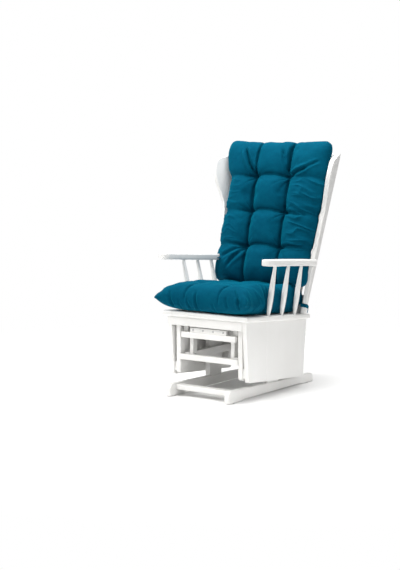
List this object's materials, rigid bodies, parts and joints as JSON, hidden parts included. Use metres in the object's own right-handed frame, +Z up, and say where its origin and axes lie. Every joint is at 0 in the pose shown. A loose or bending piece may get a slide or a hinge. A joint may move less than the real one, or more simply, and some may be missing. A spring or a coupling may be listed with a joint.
{
  "type": "glider nursery chair",
  "caption": "Painted wooden glider chair with tufted seat and back cushions, open spindle arms and flared wings, hung from a low base on swinging links.",
  "frame": {"origin": "on the floor, at the middle of the overall width and depth", "axes": "+Z up, the sitter faces -Y, +X is the sitter's left hand"},
  "size_m": [0.633, 0.7337, 1.0923],
  "materials": {
    "painted_wood": "smooth satin white paint over hardwood",
    "teal_fabric": "soft woven petrol blue cover over fibre filling",
    "steel": "zinc plated",
    "rubber": "matt black"
  },
  "bodies": {
    "base": {"runner_right": "painted_wood", "runner_left": "painted_wood", "post_right": "painted_wood", "post_left": "painted_wood", "front_stretcher": "painted_wood", "rear_stretcher": "painted_wood", "top_rail_right": "painted_wood", "top_rail_left": "painted_wood", "front_beam": "painted_wood", "rear_beam": "painted_wood", "front_top_board": "painted_wood", "bumpers": "rubber", "floor_pads": "rubber", "base_bolts": "steel", "base_screws": "steel", "upper_pivot_bolts": "steel", "upper_pivot_nuts": "steel"},
    "link_front_right": {"link_front_right": "painted_wood", "bearings_front_right": "steel"},
    "link_front_left": {"link_front_left": "painted_wood", "bearings_front_left": "steel"},
    "link_rear_right": {"link_rear_right": "painted_wood", "bearings_rear_right": "steel"},
    "link_rear_left": {"link_rear_left": "painted_wood", "bearings_rear_left": "steel"},
    "seat": {"lower_rail_right": "painted_wood", "lower_rail_left": "painted_wood", "lower_bar_front": "painted_wood", "lower_bar_rear": "painted_wood", "stop_cleats": "painted_wood", "lower_pivot_bolts": "steel", "lower_pivot_nuts": "steel", "seat_rail_right": "painted_wood", "seat_rail_left": "painted_wood", "seat_rail_front": "painted_wood", "seat_rail_rear": "painted_wood", "apron_front": "painted_wood", "apron_rear": "painted_wood", "panel_right": "painted_wood", "panel_left": "painted_wood", "stiles_front": "painted_wood", "stiles_rear": "painted_wood", "stile_spacers": "painted_wood", "seat_slats": "painted_wood", "arm_right": "painted_wood", "arm_left": "painted_wood", "spindles_right": "painted_wood", "spindles_left": "painted_wood", "wing_right": "painted_wood", "wing_left": "painted_wood", "crest_rail": "painted_wood", "lower_back_rail": "painted_wood", "back_slats": "painted_wood", "seat_cushion": "teal_fabric", "back_cushion": "teal_fabric", "cushion_ties": "teal_fabric"}
  },
  "joints": [
    {"name": "front_right_link_swing", "type": "hinge", "parent": "base", "child": "link_front_right", "pos_m": [0.107, -0.24162, 0.28], "axis": [1, 0, 0], "range_deg": [-14, 14]},
    {"name": "front_left_link_swing", "type": "hinge", "parent": "base", "child": "link_front_left", "pos_m": [-0.107, -0.24162, 0.28], "axis": [1, 0, 0], "range_deg": [-14, 14]},
    {"name": "rear_right_link_swing", "type": "hinge", "parent": "base", "child": "link_rear_right", "pos_m": [0.107, 0.07838, 0.28], "axis": [1, 0, 0], "range_deg": [-14, 14]},
    {"name": "rear_left_link_swing", "type": "hinge", "parent": "base", "child": "link_rear_left", "pos_m": [-0.107, 0.07838, 0.28], "axis": [1, 0, 0], "range_deg": [-14, 14]},
    {"name": "seat_glide", "type": "hinge", "parent": "link_front_right", "child": "seat", "pos_m": [0.107, -0.24162, 0.165], "axis": [1, 0, 0], "range_deg": [-14, 14]}
  ],
  "couplings": [
    {"joint": "front_left_link_swing", "follows": "front_right_link_swing", "ratio": 1},
    {"joint": "rear_right_link_swing", "follows": "front_right_link_swing", "ratio": 1},
    {"joint": "rear_left_link_swing", "follows": "front_right_link_swing", "ratio": 1},
    {"joint": "seat_glide", "follows": "front_right_link_swing", "ratio": -1}
  ]
}
